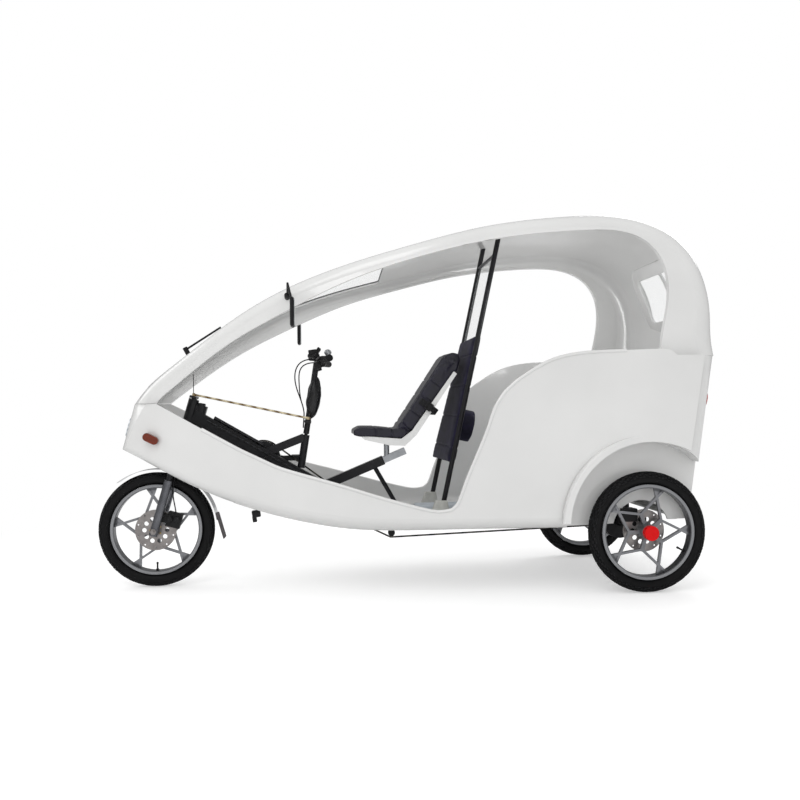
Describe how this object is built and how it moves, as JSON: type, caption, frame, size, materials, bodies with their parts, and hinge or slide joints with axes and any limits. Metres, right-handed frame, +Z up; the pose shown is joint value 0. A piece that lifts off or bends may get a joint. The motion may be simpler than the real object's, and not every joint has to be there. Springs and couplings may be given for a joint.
{
  "type": "cycle rickshaw",
  "caption": "Three-wheeled pedal cab: moulded open-sided shell with hood, driver's seat and link steering in front, passenger bench behind, all wheels, pedals and steering turning.",
  "frame": {"origin": "on the ground, midway along the overall length, in the middle plane", "axes": "+X forward towards the single front wheel, +Y to the vehicle's left, +Z up"},
  "size_m": [3.0023, 1.1104, 1.7867],
  "materials": {
    "white_shell": "glossy moulded shell",
    "clear": "clear sheet",
    "black_steel": "black powder coat",
    "silver_alloy": "cast and painted alloy",
    "steel": "machined steel",
    "bright_steel": "polished",
    "zinc_yellow": "yellow zinc plate",
    "tyre_rubber": "black rubber",
    "black_plastic": "textured",
    "red_plastic": "glossy",
    "orange_lens": "moulded lens",
    "red_lens": "moulded lens",
    "white_lens": "clear lens over reflector",
    "dark_fabric": "woven cover",
    "vinyl_cover": "coated upholstery",
    "grey_mat": "studded mat",
    "rubber": "moulded rubber",
    "chain_steel": "oiled roller chain"
  },
  "bodies": {
    "chassis": {"lower_body": "white_shell", "hood": "white_shell", "windscreen": "clear", "frame": "black_steel", "rear_axle": "black_steel", "seat_shell": "white_shell", "seat_slider": "silver_alloy", "seat_cushion": "vinyl_cover", "back_cushion": "vinyl_cover", "partition_posts": "black_steel", "partition_panel": "dark_fabric", "partition_film": "clear", "rest_pad": "dark_fabric", "bench_base": "white_shell", "bench_cushion": "vinyl_cover", "bench_backrest": "vinyl_cover", "rear_window": "clear", "rear_window_bar": "white_shell", "side_markers": "orange_lens", "tail_lamps": "red_lens", "headlamp": "white_lens", "mirror_left": "black_plastic", "mirror_right": "black_plastic", "wiper": "black_plastic", "floor_mat": "grey_mat", "rear_calipers": "black_plastic", "chain": "chain_steel", "chain_guide": "black_plastic", "cable_conduits": "black_plastic"},
    "fork": {"fork_legs": "silver_alloy", "fork_crown": "black_steel", "front_axle": "steel", "front_mudguard": "bright_steel", "mud_flap": "rubber", "front_caliper": "black_plastic", "front_brake_cable": "rubber"},
    "front_wheel": {"front_tyre": "tyre_rubber", "front_rim": "silver_alloy", "front_disc": "steel"},
    "rear_wheel_left": {"rear_tyre_left": "tyre_rubber", "rear_rim_left": "silver_alloy", "rear_disc_left": "steel", "hub_cap_left": "red_plastic"},
    "rear_wheel_right": {"rear_tyre_right": "tyre_rubber", "rear_rim_right": "silver_alloy", "rear_disc_right": "steel", "hub_cap_right": "red_plastic"},
    "handlebar": {"handlebar": "black_steel", "grips": "rubber", "brake_levers": "black_plastic", "column_case": "black_plastic", "control_cables": "rubber"},
    "steering_link": {"steering_link": "zinc_yellow"},
    "crankset": {"crankset": "black_steel", "pedals": "black_plastic"}
  },
  "joints": [
    {"name": "steering", "type": "hinge", "parent": "chassis", "child": "fork", "pos_m": [1.21875, 0, 0.2825], "axis": [-0.2756, 0, 0.9613], "range_deg": [-38, 38]},
    {"name": "front_wheel_spin", "type": "hinge", "parent": "fork", "child": "front_wheel", "pos_m": [1.21875, 0, 0.2825], "axis": [0, 1, 0], "continuous": true},
    {"name": "rear_wheel_left_spin", "type": "hinge", "parent": "chassis", "child": "rear_wheel_left", "pos_m": [-1.11025, 0.456, 0.2825], "axis": [0, 1, 0], "continuous": true},
    {"name": "rear_wheel_right_spin", "type": "hinge", "parent": "chassis", "child": "rear_wheel_right", "pos_m": [-1.11025, -0.456, 0.2825], "axis": [0, 1, 0], "continuous": true},
    {"name": "handlebar_turn", "type": "hinge", "parent": "chassis", "child": "handlebar", "pos_m": [0.48075, 0, 0.74], "axis": [-0.1513, 0, 0.9885], "range_deg": [-38, 38]},
    {"name": "link_pivot", "type": "hinge", "parent": "fork", "child": "steering_link", "pos_m": [1.02801, 0.045, 0.94769], "axis": [-0.2756, 0, 0.9613], "range_deg": [-38, 38]},
    {"name": "crank_spin", "type": "hinge", "parent": "chassis", "child": "crankset", "pos_m": [0.69875, 0, 0.62], "axis": [0, 1, 0], "continuous": true}
  ],
  "couplings": [
    {"joint": "handlebar_turn", "follows": "steering", "ratio": 1},
    {"joint": "link_pivot", "follows": "steering", "ratio": -1}
  ]
}
